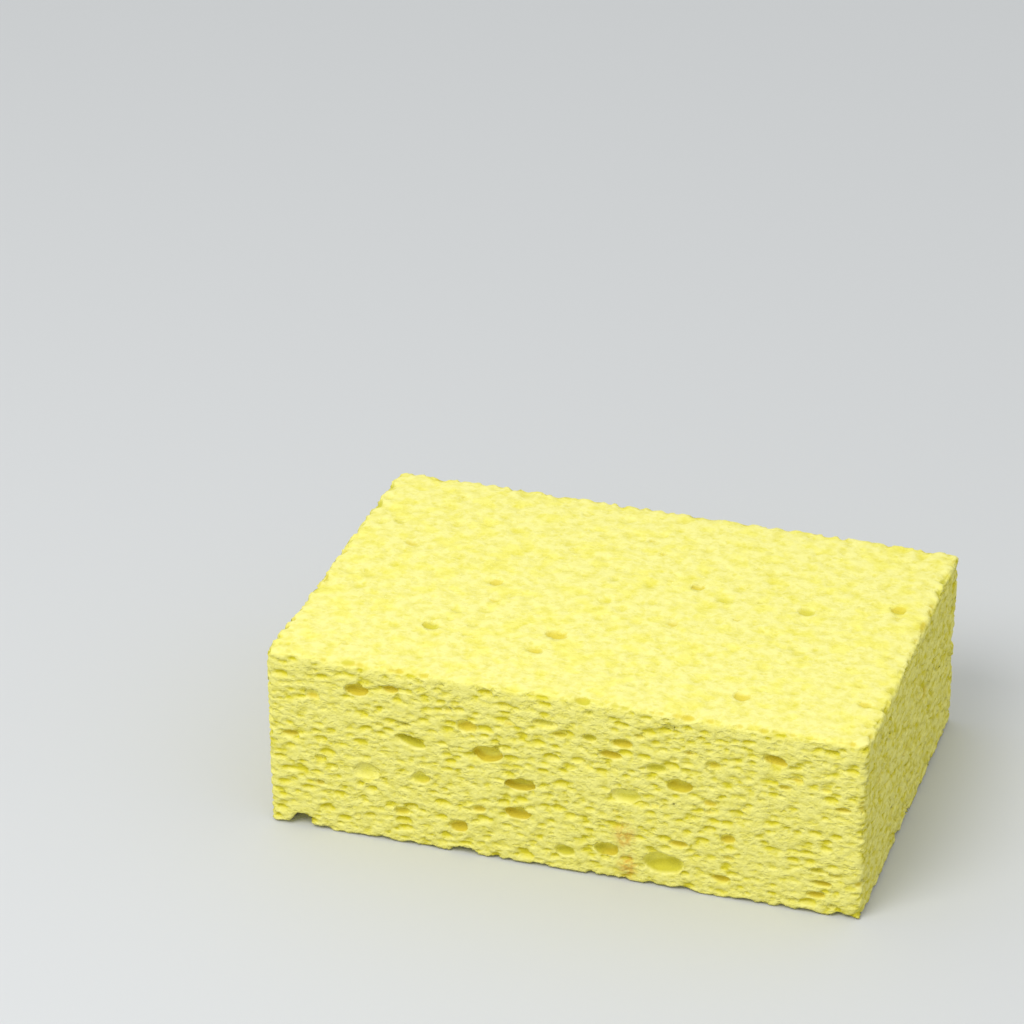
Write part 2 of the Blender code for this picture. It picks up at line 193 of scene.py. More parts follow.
def faces_of_block():
    """The block's faces: a corner, the ways along, up and in, and the two lengths."""
    x, y, z = Vector((1, 0, 0)), Vector((0, 1, 0)), Vector((0, 0, 1))
    left, front, back = -LENGTH / 2, -WIDTH / 2, WIDTH / 2
    return {
        "front": Face(Vector((left, front, 0)), x, z, y, LENGTH, THICKNESS),
        "back": Face(Vector((-left, back, 0)), -x, z, -y, LENGTH, THICKNESS),
        "right": Face(Vector((-left, front, 0)), y, z, -x, WIDTH, THICKNESS),
        "left": Face(Vector((left, back, 0)), -y, z, x, WIDTH, THICKNESS),
        "top": Face(Vector((left, front, THICKNESS)), x, y, -z, LENGTH, WIDTH),
        "under": Face(Vector((left, back, 0)), x, -y, z, LENGTH, WIDTH),
    }


def size_class(wide):
    """The class of a mouth of this width: the first one whose least width it reaches."""
    for name, (least, _most, _density) in CELL_SIZES.items():
        if wide >= least:
            return name
    return "small"


def cell_with_mouth(name, along, up, wide, high, sunk, turn):
    """The ellipsoid that opens on a face with a mouth of this width and height: with its
    middle a share `sunk` of its half depth down, its mouth is sqrt(1 - sunk^2) of it."""
    face = faces[name]
    opening = math.sqrt(1 - sunk * sunk)
    half_along, half_up = wide / 2 / opening, high / 2 / opening
    if abs(face.up.z) > 0.5:
        half_in = half_along
        reach = max(half_along, half_up / CELL_FLATNESS)
    else:
        reach = max(half_along, half_up)
        half_in = CELL_FLATNESS * reach
    centre = face.corner + face.along * face.long * along + face.up * face.high * up
    centre += face.inward * half_in * sunk
    axes = Matrix.Rotation(math.radians(turn), 3, face.inward)
    axes = axes @ Matrix((face.along, face.up, face.inward)).transposed()
    half = Vector((half_along, half_up, half_in))
    return Cell(centre, axes, half, reach, size_class(wide), name, sunk)


def cell_on_edge(centre, wide, high, size):
    """A cell whose middle lies on an edge of the block, so that a quarter of it is cut."""
    half = Vector((wide, wide, high)) / 2
    reach = max(wide, high / CELL_FLATNESS) / 2
    return Cell(centre, Matrix.Identity(3), half, reach, size, "edge", 0.0)


def torn_cells():
    """The torn places on the block's edges, each as one cell."""
    cells = []
    for along, across, up, wide, high in TEARS:
        centre = Vector(((along - 0.5) * LENGTH, (across - 0.5) * WIDTH, up * THICKNESS))
        cells.append(cell_on_edge(centre, wide, high, "medium"))
    return cells


def stands_clear(cell, others):
    """Whether a cell keeps its wall to the others, measured where both are balls."""
    for other in others:
        apart = cell.centre - other.centre
        apart.z /= CELL_FLATNESS
        if apart.length < cell.reach + other.reach + CELL_WALL:
            return False
    return True


def keeps_edges(cell):
    """Whether a cell leaves no thin skin along the faces that it doesn't open on."""
    tall = cell.reach * CELL_FLATNESS
    middle = cell.centre - Vector((0, 0, THICKNESS / 2))
    room = (LENGTH / 2 - abs(middle.x), WIDTH / 2 - abs(middle.y), THICKNESS / 2 - abs(middle.z))
    opened = 0
    for depth, half in zip(room, (cell.reach, cell.reach, tall)):
        if depth < OPENS_WITHIN * half:
            opened += 1
        elif depth < half + CELL_WALL:
            return False
    return opened == 1


def spares_rest(cell):
    """Whether a cell keeps clear of the middle of the underside, which the block rests on."""
    return cell.face != "under" or cell.centre.xy.length > REST_PATCH + cell.reach


def chance_cells(taken, chance):
    """The cells that are left to chance, on every face, the large ones first."""
    cells = []
    for size, (least, most, density) in CELL_SIZES.items():
        for name, face in faces.items():
            if size in ALL_LISTED.get(name, ()):
                continue
            shown = sum(1 for cell in taken if (cell.face, cell.size) == (name, size))
            wanted = round(face.long * face.high * density) - shown
            for _ in range(max(wanted, 0) * CHANCE_TRIES):
                if wanted == 0:
                    break
                wide = chance.uniform(least, most)
                upright = abs(face.up.z) > 0.5
                cell = cell_with_mouth(
                    name,
                    chance.random(),
                    chance.random(),
                    wide,
                    wide * (CELL_FLATNESS if upright else chance.uniform(*CHANCE_ROUNDNESS)),
                    chance.uniform(*(CHANCE_SUNK if upright else BROAD_SUNK)),
                    0 if upright else chance.uniform(0, 180),
                )
                fits = keeps_edges(cell) and spares_rest(cell)
                if fits and stands_clear(cell, taken + cells):
                    cells.append(cell)
                    wanted -= 1
    return cells


def block_edges():
    """The block's twelve edges, each as its two ends."""
    sides = (LENGTH / 2, WIDTH / 2, THICKNESS / 2)
    middle = Vector((0, 0, THICKNESS / 2))
    edges = []
    for axis in range(3):
        first, second = [other for other in range(3) if other != axis]
        for sign_first in (-1, 1):
            for sign_second in (-1, 1):
                start = Vector((0, 0, 0))
                start[axis] = -sides[axis]
                start[first] = sign_first * sides[first]
                start[second] = sign_second * sides[second]
                end = start.copy()
                end[axis] = sides[axis]
                edges.append((middle + start, middle + end))
    return edges


def nick_cells(taken, chance):
    """Small cells that the saw opened along the block's edges."""
    cells = []
    for start, end in block_edges():
        count = round((end - start).length / NICK_SPACING)
        for step in range(count):
            place = (step + chance.uniform(*NICK_STRETCH)) / count
            wide = NICK_WIDTH * chance.uniform(*NICK_SPREAD)
            cell = cell_on_edge(start.lerp(end, place), wide, wide * CELL_FLATNESS, "small")
            if stands_clear(cell, taken + cells):
                cells.append(cell)
    return cells


faces = faces_of_block()
chance = random.Random(CELL_SEED)
cells = torn_cells() + [
    cell_with_mouth(name, *mouth)
    for name, mouths in (("front", FRONT_CELLS), ("top", TOP_CELLS), ("right", RIGHT_CELLS))
    for mouth in mouths
]
cells += chance_cells(cells, chance)
cells += nick_cells(cells, chance)

# The finer cells, too many for the solid.
# Bubbles of a few millimetres fill the foam between the large ones, and the saw opened
# them too. Rows of them along the edges leave the block's outline ragged.
FINE_BUBBLES = (
    # lattice size, flatness, least and greatest radius as shares of the size, the share
    # that is there, and the depth as a share of the radius
    (0.0052, 0.45, 0.26, 0.48, 0.75, 0.66),
    (0.0031, 0.50, 0.30, 0.56, 1.00, 0.70),
    (0.0021, 0.55, 0.30, 0.55, 1.00, 0.60),
)
FINE_SEED = 61
BUBBLE_PLACES = (0.15, 0.85)
BUBBLE_DEPTHS = (0.4, 1.0)
BOWL_POWER = 0.95
EDGE_NICKS = (
    # spacing, least and greatest width, least and greatest height as shares of the width
    (0.0032, 0.0011, 0.0032, 0.35, 0.75),
    (0.0085, 0.0018, 0.0040, 0.45, 0.65),
)
EDGE_NICK_SEED = 5
CORNER_ROOM = 0.0022
NOISE_CORNER = np.array((-0.09, -0.07, -0.02))
NOISE_ROOM = np.array((0.18, 0.14, 0.09))
TINY = 1e-9  # keeps a division from being by nothing


def edge_nicks():
    """Small cells along the block's edges, as many as the spacing gives. The bottom ones
    have the second, coarser set as well."""
    draw = np.random.default_rng(EDGE_NICK_SEED)
    found = []
    for start, end in block_edges():
        at_bottom = start.z == end.z == 0
        for spacing, least, most, flattest, roundest in EDGE_NICKS[: 2 if at_bottom else 1]:
            count = round((end - start).length / spacing)
            for step in range(count):
                centre = start.lerp(end, (step + draw.random()) / count)
                wide = draw.uniform(least, most)
                tall = wide * draw.uniform(flattest, roundest)
                if min((centre - start).length, (centre - end).length) > CORNER_ROOM:
                    found.append(cell_on_edge(centre, wide, tall, "small"))
    return found


def bubble_depth(points, size, flatness, least, most, share, depth, seed):
    """How deep the bubbles of one lattice open below each point of the surface.

    A cube of the lattice holds at most one bubble, a flattened ball of random place and
    radius r, in cubes. At a distance d from its middle, measured where the ball is round,
    it is a random share of depth * size * r * (1 - (d / r)^2) ^ BOWL_POWER deep. Of the
    bubbles around a point, the deepest counts.
    """
    draw = np.random.default_rng(seed)
    squash = np.array((1, 1, flatness))
    place = (points - NOISE_CORNER) / squash / size
    counts = np.ceil(NOISE_ROOM / squash / size).astype(int) + 3
    centres = draw.uniform(*BUBBLE_PLACES, (*counts, 3))
    radii = draw.uniform(least, most, counts) * (draw.random(counts) < share)
    depths = draw.uniform(*BUBBLE_DEPTHS, counts) * depth * size
    whole = np.floor(place).astype(int)
    deepest = np.zeros(points.shape[:-1])
    for step in np.ndindex(3, 3, 3):
        cube = np.clip(whole + np.array(step) - 1, 0, counts - 1)
        i, j, k = np.moveaxis(cube, -1, 0)
        away = cube + centres[i, j, k] - place
        radius = np.maximum(radii[i, j, k], TINY)
        within = np.clip(1 - (away**2).sum(-1) / radius**2, 0, 1)
        deepest = np.maximum(deepest, depths[i, j, k] * radius * within**BOWL_POWER)
    return deepest


nicks = edge_nicks()

# The sponge itself.
# One block of yellow foam with no skin: six sawn faces whose edges are soft and ragged.
# The surface is six grids that share their edges, drawn inwards wherever a cell opens.
FACETS = (216, 102, 110)  # along, across and up the block
FIRST_STEPS = (0.0003, 0.0007)  # a grid's first two points, from its border
FRONT_LEFT_ROUND = 0.0020
BACK_LEFT_ROUND = 0.0042
RIGHT_CORNER_ROUND = 0.0012
EDGE_ROUND = 0.0007
EDGE_VARIES = 0.35  # share of that round which comes and goes
EDGE_NOISE = (0.006, 31)  # size and seed of the noise that it follows
FRONT_LEFT_LEAN = 0.0008
LEAN_REACH = 0.025
TOUCHING = 1e-6  # anything nearer to a face than this is on it

# The rims of cells wander by these noises: their sizes, strengths and seeds for each axis.
WOBBLE = 0.00042 * np.array((1, 1, 0.5))
WOBBLE_NOISES = ((0.0028, 1.0, (41, 42, 43)), (0.0014, 0.5, (44, 45, 46)))
WINDOW_ROOM = 0.0006  # for the wobble, around the points that a cell may reach
LEVEL_ROOM = 0.001  # for the same, between a cell and the face's plane
UNDERCUT = 2.6  # how much deeper a cell reaches in under the block
RIM_BAND = 0.0009  # width of the band around a rim whose points are drawn to it
RIM_DRAW = 1.7
SEAM = 0.0006  # border of a face on which no point is spread over a bowl
SEAM_BLEND = 0.0012

# The whole surface stands proud of the solid's, less an uneven depth and the fine bubbles.
# These are calmer on the broad faces and inside the cells, and rougher on the two ends.
PROUD = 0.00050
UNEVEN = 0.00025
UNEVEN_NOISE = (0.022, 71)
BROAD_CALM = 0.5
END_ROUGH = 0.5
EDGE_ROUGH = 0.0030  # from the border of a broad face to where it is calm
BOWL_CALM = 0.0008
BOWL_RELIEF = 0.25
BROAD_HOLLOW = 0.0010  # how hollow a cell on a broad face may look in its painted shade, at most
HOLLOW_RATE = 3
SHEET_GAP = 0.003


def stations(start, end, count):
    """Places from start to end, even but for two narrow steps at each end, which give
    the rounded edge its own points."""
    first, second = FIRST_STEPS
    inner = np.linspace(start + second, end - second, count - 3)
    return np.concatenate(([start, start + first], inner, [end - first, end]))


def eased(share):
    """A share from 0 to 1, eased at both ends: s^2 * (3 - 2s)."""
    return share * share * (3 - 2 * share)


def soft_noise(points, size, seed):
    """Smooth noise from -1 to 1: random values on a lattice of the given size, blended
    with an eased weight along each axis."""
    draw = np.random.default_rng(seed)
    place = (points - NOISE_CORNER) / size
    counts = np.ceil(NOISE_ROOM / size).astype(int) + 2
    lattice = draw.uniform(-1, 1, counts)
    whole = np.floor(place).astype(int)
    part = eased(place - whole)
    total = np.zeros(points.shape[:-1])
    for corner in np.ndindex(2, 2, 2):
        weight = np.prod(np.where(corner, part, 1 - part), axis=-1)
        i, j, k = np.moveaxis(whole + corner, -1, 0)
        total += weight * lattice[i, j, k]
    return total


def rounded_block(flat):
    """Points of a sharp box moved onto the rounded one, and their outward directions.

    In plan, a point in a corner's square moves along its ray from the corner's centre,
    until its distance is the greater of its two offsets. The top and bottom edges are
    rounded the same way, in the plane of the outline's outward direction and the height.
    """
    half = np.array((LENGTH / 2, WIDTH / 2))
    side = np.sign(flat[..., :2])
    left_round = np.where(flat[..., 1] < 0, FRONT_LEFT_ROUND, BACK_LEFT_ROUND)
    radius = np.where(flat[..., 0] < 0, left_round, RIGHT_CORNER_ROUND)[..., None]
    past = np.clip(np.abs(flat[..., :2]) - (half - radius), 0, None)
    ray = np.linalg.norm(past, axis=-1, keepdims=True)
    in_corner = np.all(past > 0, axis=-1, keepdims=True)
    shrink = np.where(in_corner, past.max(-1, keepdims=True) / np.maximum(ray, TINY), 1)
    plan = side * (np.minimum(np.abs(flat[..., :2]), half - radius) + past * shrink)
    room = half - np.abs(flat[..., :2])
    nearest = room == room.min(-1, keepdims=True)
    outline = side * np.where(in_corner, past / np.maximum(ray, TINY), nearest)
    outline /= np.maximum(np.linalg.norm(outline, axis=-1, keepdims=True), TINY)
    from_outline = room.min(-1)
    middle = THICKNESS / 2
    upward = np.sign(flat[..., 2] - middle)
    from_flat = middle - np.abs(flat[..., 2] - middle)
    edge = EDGE_ROUND * (1 + EDGE_VARIES * soft_noise(flat, *EDGE_NOISE))
    past_outline = np.clip(edge - from_outline, 0, None)
    past_flat = np.clip(edge - from_flat, 0, None)
    turn = np.hypot(past_outline, past_flat)
    on_edge = (past_outline > 0) & (past_flat > 0)
    turn = np.where(on_edge, turn, 1)
    drawn_side = np.where(on_edge, edge - past_outline * edge / turn - from_outline, 0)
    drawn_flat = np.where(on_edge, edge - past_flat * edge / turn - from_flat, 0)
    points = np.empty_like(flat)
    points[..., :2] = plan - outline * drawn_side[..., None]
    points[..., 2] = flat[..., 2] - upward * drawn_flat
    out = np.zeros_like(flat)
    on_side = from_outline < TOUCHING
    side_share = np.where(on_edge, past_outline / turn, on_side)
    flat_share = np.where(on_edge, past_flat / turn, ~on_side)
    out[..., :2] = outline * side_share[..., None]
    out[..., 2] = upward * flat_share
    return points, out / np.linalg.norm(out, axis=-1, keepdims=True)


def axes_of(face):
    """The numbers of the axes that lie along, up and into a face."""
    ways = (face.along, face.up, face.inward)
    return [int(np.abs(way).argmax()) for way in ways]


def face_grid(face):
    """One face of the sharp box as a grid of points, with its two sets of stations."""
    first, second, _plane = axes_of(face)
    spans = ((-LENGTH / 2, LENGTH / 2), (-WIDTH / 2, WIDTH / 2), (0, THICKNESS))
    along, up = (stations(*spans[axis], FACETS[axis]) for axis in (first, second))
    flat = np.empty((len(along), len(up), 3))
    flat[...] = np.array(face.corner)
    flat[..., first] = along[:, None]
    flat[..., second] = up[None, :]
    return flat, along, up


def rim_wobble(points):
    """How far the cells' outlines wander at each point: the sum of two soft noises."""
    noises = (
        share * np.stack([soft_noise(points, size, seed) for seed in seeds], -1)
        for size, share, seeds in WOBBLE_NOISES
    )
    return sum(noises) * WOBBLE


def cell_arrays(cell):
    """A cell's centre, axes and half sizes. One on a lower edge reaches further in under
    the block than its mouth is wide, so that it looks as dark as a gap."""
    centre, axes, half = np.array(cell.centre), np.array(cell.axes), np.array(cell.half)
    if cell.face == "edge" and cell.centre.z == 0:
        on_long_edge = abs(abs(cell.centre.y) - WIDTH / 2) < TOUCHING
        half[1 if on_long_edge else 0] *= UNDERCUT
    return centre, axes, half


def way_in(centre, half):
    """The way in from a cell on an edge of the block: the diagonal of the quarter of it
    that is cut, so the two faces that meet there share the cell's wall between them."""
    from_middle = centre - np.array((0, 0, THICKNESS / 2))
    sides = np.array((LENGTH, WIDTH, THICKNESS)) / 2
    across = np.abs(np.abs(from_middle) - sides) < TOUCHING
    way = -np.sign(from_middle) * across * half
    return way / np.linalg.norm(way)


def far_wall(away, inward):
    """How far points are from the far wall of the cell that they lie in, along a way in,
    or 0 outside it. Both are in units of the cell's half sizes, so its wall is the unit
    ball, and the distance t is the greater root of |away + t * inward| = 1."""
    steep = (inward**2).sum(-1)
    slope = (away * inward).sum(-1)
    short = (away**2).sum(-1) - 1
    distance = (np.sqrt(np.maximum(slope**2 - steep * short, 0)) - slope) / steep
    return np.where(short < 0, distance, 0)


def bowl_of(sunk, away, half):
    """Which points lie inside a cell's mouth, where they go on its bowl, and how far the
    points around the mouth are drawn to its rim, in the cell's own axes.

    A point at a share s of the way from the mouth's middle to its rim goes to the angle
    s * acos(-sunk) from the bowl's lowest point, so a wide cell can hang over. In the band
    around the rim, s itself moves from 1 + band * off to 1 + band * off ^ RIM_DRAW, with
    the sign of off kept, to hold the rim crisp.
    """
    opening = math.sqrt(1 - sunk**2)
    plan = away[..., :2] / opening
    share = np.linalg.norm(plan, axis=-1)
    way = plan / np.maximum(share, TINY)[..., None]
    band = RIM_BAND / (half[:2].min() * opening)
    off = np.clip((share - 1) / band, -1, 1)
    crisp = 1 + band * np.sign(off) * np.abs(off) ** RIM_DRAW
    crisp = np.where(np.abs(off) < 1, crisp, share)
    tilt = math.acos(-sunk) * np.minimum(crisp, 1)
    ball = np.concatenate([way * np.sin(tilt)[..., None], np.cos(tilt)[..., None]], -1)
    moved = way * (crisp - share)[..., None] * opening
    moved = np.concatenate([moved, np.zeros_like(moved[..., :1])], -1)
    return (share < 1)[..., None], ball * half, moved * half


def fine_relief(points, out, room, sunk):
    """How deep the fine bubbles open at each point: the deepest of the lattices, times a
    share that falls on the broad faces and with the depth in a cell, and rises at the ends."""
    fine = np.zeros(room.shape)
    for number, kind in enumerate(FINE_BUBBLES):
        fine = np.maximum(fine, bubble_depth(points, *kind, FINE_SEED + number))
    calm = BROAD_CALM * np.clip(room / EDGE_ROUGH, 0, 1)
    share = 1 - calm * out[..., 2] ** 2 + END_ROUGH * out[..., 0] ** 2
    return fine * share * np.clip(1 - sunk / BOWL_CALM, BOWL_RELIEF, 1)


def lean_out(flat):
    """How far the front left edge leans out: in proportion to the height, and falling in
    a straight line to nothing at LEAN_REACH from the edge."""
    lean = FRONT_LEFT_LEAN * flat[..., 2] / THICKNESS
    lean *= np.clip(1 - (flat[..., 0] + LENGTH / 2) / LEAN_REACH, 0, 1)
    return lean * np.clip(1 - (flat[..., 1] + WIDTH / 2) / LEAN_REACH, 0, 1)


# This depth sets the painted shade and the painted glow of the pits.
def hollow_look(sunk, out):
    """How hollow a point looks: its depth in a cell, but on the broad faces that nears
    BROAD_HOLLOW as 1 - exp(-HOLLOW_RATE * depth / BROAD_HOLLOW) does 1."""
    broad = BROAD_HOLLOW * (1 - np.exp(-HOLLOW_RATE * np.maximum(sunk, 0) / BROAD_HOLLOW))
    return sunk + (broad - sunk) * out[..., 2] ** 2


def opened_face(name):
    """One face with every cell opened: the sharp box's points and where they come to lie,
    how hollow and how dimpled each one is, and how wide open its cell is.

    A point inside a cell is drawn to the cell's far wall: straight in, or along way_in if
    the cell is on an edge. The points in a mouth on this face go where bowl_of puts them
    instead, but for the seam along the border, which two faces share.
    """
    flat, along, up = face_grid(faces[name])
    first, second, plane = axes_of(faces[name])
    points, out = rounded_block(flat)
    wobble = rim_wobble(points)
    from_ends = np.minimum(along - along[0], along[-1] - along)
    from_rows = np.minimum(up - up[0], up[-1] - up)
    room = np.minimum(from_ends[:, None], from_rows[None, :])
    deep = np.zeros(room.shape)
    closed = np.ones(room.shape)
    in_bowl = np.zeros((*room.shape, 1), bool)
    push, bowl, drawn = np.zeros((3, *flat.shape))
    for cell in cells + nicks:
        centre, axes, half = cell_arrays(cell)
        if abs(centre[plane] - flat[0, 0, plane]) > half.max() + LEVEL_ROOM:
            continue
        reach = half.max() + RIM_BAND + WINDOW_ROOM
        start, end = np.searchsorted(along, (centre[first] - reach, centre[first] + reach))
        bottom, top = np.searchsorted(up, (centre[second] - reach, centre[second] + reach))
        window = (slice(start, end), slice(bottom, top))
        away = (points[window] + wobble[window] - centre) @ axes / half
        heading = -out[window]
        if cell.face == "edge":
            heading = np.broadcast_to(way_in(centre, half), heading.shape)
        distance = far_wall(away, heading @ axes / half)
        deeper = distance > deep[window]
        deep[window] = np.where(deeper, distance, deep[window])
        closed[window] = np.where(deeper, 1 + min(cell.sunk, 0), closed[window])
        step_in = heading * distance[..., None]
        push[window] = np.where(deeper[..., None], step_in, push[window])
        if cell.face == name:
            inside, on_bowl, to_rim = bowl_of(cell.sunk, away, half)
            spot = centre + on_bowl @ axes.T - wobble[window]
            bowl[window] = np.where(inside, spot, bowl[window])
            in_bowl[window] |= inside
            drawn[window] += np.where(inside, 0, to_rim @ axes.T)
    straight = points + push
    opened = np.where(in_bowl, bowl, straight + drawn)
    off_seam = eased(np.clip((room - SEAM) / SEAM_BLEND, 0, 1))[..., None]
    placed = straight + (opened - straight) * off_seam
    sunk = -((placed - points) * out).sum(-1)
    relief = fine_relief(points + wobble, out, room, sunk)
    uneven = UNEVEN * (0.5 + 0.5 * soft_noise(points, *UNEVEN_NOISE))
    stand = out * PROUD
    stand[..., 2] = np.maximum(stand[..., 2], 0)
    placed = placed + stand - out * (relief + uneven)[..., None]
    placed[..., 0] -= lean_out(flat)
    placed[..., 2] = np.maximum(placed[..., 2], 0)
    return flat, placed, hollow_look(sunk, out) * closed, relief, 1 - closed


def grid_keys(face):
    """A number for each point of a face's grid, the same on faces that share the point."""
    first, second, plane = axes_of(face)
    steps = [None, None, None]
    steps[first] = np.arange(FACETS[first] + 1)[:, None]
    steps[second] = np.arange(FACETS[second] + 1)[None, :]
    steps[plane] = 0 if face.inward[plane] > 0 else FACETS[plane]
    i, j, k = steps
    return (i * (FACETS[1] + 1) + j) * (FACETS[2] + 1) + k


def quads_of(keys, flipped):
    """The grid's four-sided facets, turned to face outwards."""
    corners = [keys[:-1, :-1], keys[1:, :-1], keys[1:, 1:], keys[:-1, 1:]]
    quads = np.stack([corner.ravel() for corner in corners], -1)
    return (quads[:, ::-1] if flipped else quads).tolist()


def coarse_facets(keys, flipped):
    """Facets of twice the size for the hidden underside. Those along its border keep the
    extra point in the middle of their outer edge, so they meet the sides point for point."""
    low, mid, high = slice(None, -2, 2), slice(1, -1, 2), slice(2, None, 2)
    sides = ((low, low), (mid, low), (high, low), (high, mid))
    sides += ((high, high), (mid, high), (low, high), (low, mid))
    rings = np.stack([keys[place] for place in sides], -1)
    kept = np.zeros(rings.shape, bool)
    kept[..., ::2] = True
    kept[:, 0, 1] = kept[-1, :, 3] = kept[:, -1, 5] = kept[0, :, 7] = True
    rings, kept = rings.reshape(-1, len(sides)), kept.reshape(-1, len(sides))
    facets = [ring[keep].tolist() for ring, keep in zip(rings, kept)]
    return [facet[::-1] for facet in facets] if flipped else facets


def sheet_place(name, flat):
    """Where a face's points lie on the flat sheet of all six faces, each the right way
    round: the two broad ones stacked, the four narrow ones beside and above them."""
    gap = SHEET_GAP
    x, y, z = flat[:, 0] + LENGTH / 2, flat[:, 1] + WIDTH / 2, flat[:, 2]
    places = {
        "top": (x, y),
        "under": (x, WIDTH - y + WIDTH + gap),
        "front": (LENGTH + gap + THICKNESS - z, x),
        "back": (LENGTH + THICKNESS + 2 * gap + z, x),
        "right": (LENGTH + gap + y, LENGTH + gap + z),
        "left": (WIDTH - y, 2 * (WIDTH + gap) + z),
    }
    return (np.stack(places[name], -1) + gap / 2) / (2 * (WIDTH + gap) + THICKNESS + gap)


key_count = math.prod(count + 1 for count in FACETS)
place_of = np.zeros((key_count, 3))
flat_of = np.zeros((key_count, 3))
looks_of = np.zeros((key_count, 3))
facets, sheet = [], []
for name, face in faces.items():
    flat, placed, *looks = opened_face(name)
    keys = grid_keys(face)
    place_of[keys] = placed
    flat_of[keys] = flat
    looks_of[keys] = np.stack(looks, -1)
    first, second, plane = axes_of(face)
    flipped = ((second - first) % 3 == 1) == (face.inward[plane] > 0)
    new = coarse_facets(keys, flipped) if name == "under" else quads_of(keys, flipped)
    facets += new
    sheet.append(sheet_place(name, flat_of[np.concatenate(new)]))
used = np.unique(np.concatenate(facets))
number_of = np.zeros(key_count, int)
number_of[used] = np.arange(len(used))
mesh = bpy.data.meshes.new("sponge")
mesh.from_pydata(place_of[used].tolist(), [], [number_of[facet].tolist() for facet in facets])
mesh.uv_layers.new(name="OFBake")
mesh.uv_layers["OFBake"].data.foreach_set("uv", np.concatenate(sheet).ravel())
for column, name in enumerate(("hollow", "dimple", "open")):
    mesh.attributes.new(name, "FLOAT", "POINT")
    values = looks_of[used, column].astype(np.float32)
    mesh.attributes[name].data.foreach_set("value", values)
mesh.shade_smooth()
mesh.update()
sponge = bpy.data.objects.new("sponge", mesh)
bpy.context.scene.collection.objects.link(sponge)

# The foam's colour and its finest grain.
# Dry cellulose, dyed right through. Light soaks into it, and the colour paints that in: a
# pale painted glow on the roof of a cell, painted shade on its floor and in the dimples.
# One small brown mark is on the front.
PALE_YELLOW = (0.95, 0.90, 0.34, 1)
WARM_YELLOW = (0.95, 0.89, 0.22, 1)
# The deeper yellow takes the painted shade of the dimples and grain, and the random mottle.
DEEP_YELLOW = (0.76, 0.68, 0.04, 1)
# Painted light in the pits: a pale painted glow on their roofs and deepest parts, for light
# soaking through the foam, and painted shade in ochre or olive on their floors.
PIT_PAINTED_GLOW = (0.97, 0.93, 0.20, 1)
PIT_PAINTED_SHADE_OCHRE = (0.74, 0.61, 0.06, 1)
PIT_PAINTED_SHADE_OLIVE = (0.66, 0.61, 0.06, 1)
BROWN_MARK = (0.74, 0.47, 0.07, 1)
MARK_SPOTS = (
    # the middle of each spot, and how far it reaches along, in and up
    ((0.0163, -0.051, 0.0130), (0.0036, 0.0040, 0.0050)),
    ((0.0172, -0.051, 0.0045), (0.0032, 0.0040, 0.0048)),
)
FOAM_ROUGHNESS = 0.92
FOAM_SHEEN = 0.1
CELL_SQUASH = (1, 1, 1.6)
GRAIN_DEPTH = 0.00045
GRAIN_STRENGTH = 0.65
GRAIN_SHARES = (0.55, 0.45)  # of the coarse and of the fine grain
DIMPLE_PAINTED_SHADE = 0.89  # how far the painted shade in a dimple, and in the grain, turns the yellow to its deeper one
GRAIN_PAINTED_SHADE = 0.43
WARMTH = 0.75  # how warm the yellow is on average

# How many lumps each noise has to a metre.
COARSE_GRAIN = 620
FINE_GRAIN = 1000
MOTTLE = 330
PATCHES = 190
HUES = 70
SPECKLES = 750

# Depths between which the painted shade of a dimple and of a pit, and the pale painted glow of a
# pit's deepest part, come in.
DIMPLE_DEPTHS = (0.0, 0.0008)
PIT_DEPTHS = (0.0001, 0.0011)
DEEP_PIT_DEPTHS = (0.0026, 0.0040)

foam = bpy.data.materials.new("yellow_cellulose_foam")
foam.use_nodes = True
nodes, links = foam.node_tree.nodes, foam.node_tree.links
shader = nodes["Principled BSDF"]
shader.inputs["Roughness"].default_value = FOAM_ROUGHNESS
shader.inputs["Specular IOR Level"].default_value = FOAM_SHEEN


def node(kind, settings=(), inputs=()):
    """A node with its settings, and its inputs as values or as other nodes' outputs."""
    made = nodes.new("ShaderNode" + kind)
    for key, value in dict(settings).items():
        setattr(made, key, value)
    for key, value in dict(inputs).items():
        if isinstance(value, bpy.types.NodeSocket):
            links.new(value, made.inputs[key])
        else:
            made.inputs[key].default_value = value
    return made


def sums(operation, first, second):
    """One Math node's result."""
    return node("Math", {"operation": operation}, {0: first, 1: second}).outputs[0]


def times(first, second):
    """The product of two values."""
    return sums("MULTIPLY", first, second)


def ramp(value, start, end, low=0.0, high=1.0):
    """A value mapped from one range to another, eased at both ends."""
    made = node(
        "MapRange",
        {"interpolation_type": "SMOOTHSTEP"},
        {"Value": value, "From Min": start, "From Max": end, "To Min": low, "To Max": high},
    )
    return made.outputs["Result"]


def blend(share, first, second):
    """The first colour, turned into the second by a share."""
    return node("Mix", {"data_type": "RGBA"}, {0: share, 6: first, 7: second}).outputs[2]


def noise(vector, scale, detail):
    """Soft noise from 0 to 1, with this many lumps to a metre."""
    inputs = {"Vector": vector, "Scale": scale, "Detail": detail}
    return node("TexNoise", (), inputs).outputs["Fac"]


def attribute(name):
    """A value that the mesh holds at each of its points."""
    return node("Attribute", {"attribute_name": name}).outputs["Fac"]


def cell_grain(vector, scale, wall):
    """How deep the grain lies: none at a cell's wall, a random depth in its middle."""
    inputs = {"Vector": vector, "Scale": scale}
    edge = node("TexVoronoi", {"feature": "DISTANCE_TO_EDGE"}, inputs).outputs["Distance"]
    lot = node("TexVoronoi", {"feature": "F1"}, inputs).outputs["Color"]
    red = node("SeparateColor", (), {0: lot}).outputs[0]
    return times(ramp(edge, 0.0, wall), ramp(red, 0.2, 1.0, 0.1, 1.0))


